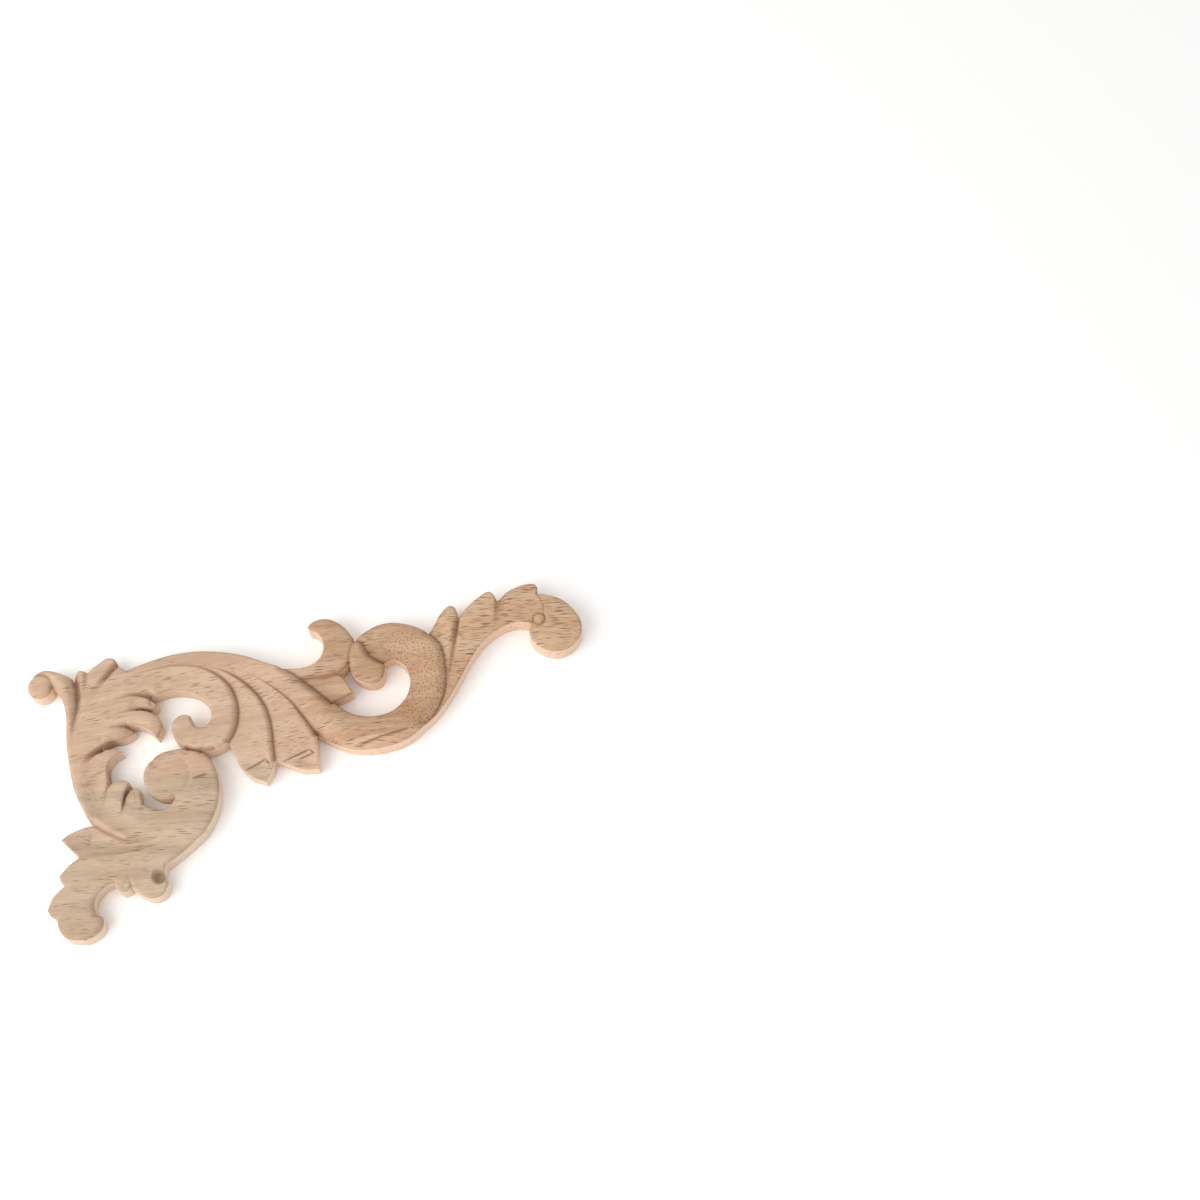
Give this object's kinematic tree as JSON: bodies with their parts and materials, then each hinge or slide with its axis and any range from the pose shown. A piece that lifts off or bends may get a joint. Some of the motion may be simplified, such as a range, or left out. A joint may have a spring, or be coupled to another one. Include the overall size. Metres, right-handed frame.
{
  "type": "carved wood applique",
  "caption": "Flat-backed corner ornament carved from bare wood: a long leafy scroll arm and a short one meet at a curled corner, to be glued on furniture, doors or frames.",
  "frame": {"origin": "on the flat back, under the left one of the two fan leaves, near the middle of the piece", "axes": "+X along the long arm, from the corner curl to the end ball; the short arm runs to -Y; +Z out of the carved face, and the back is the plane z = 0"},
  "size_m": [0.2015, 0.1015, 0.0114],
  "materials": {
    "wood": "bare pale rubberwood, carved and sanded, unfinished"
  },
  "bodies": {
    "root": {"applique": "wood"}
  },
  "joints": []
}
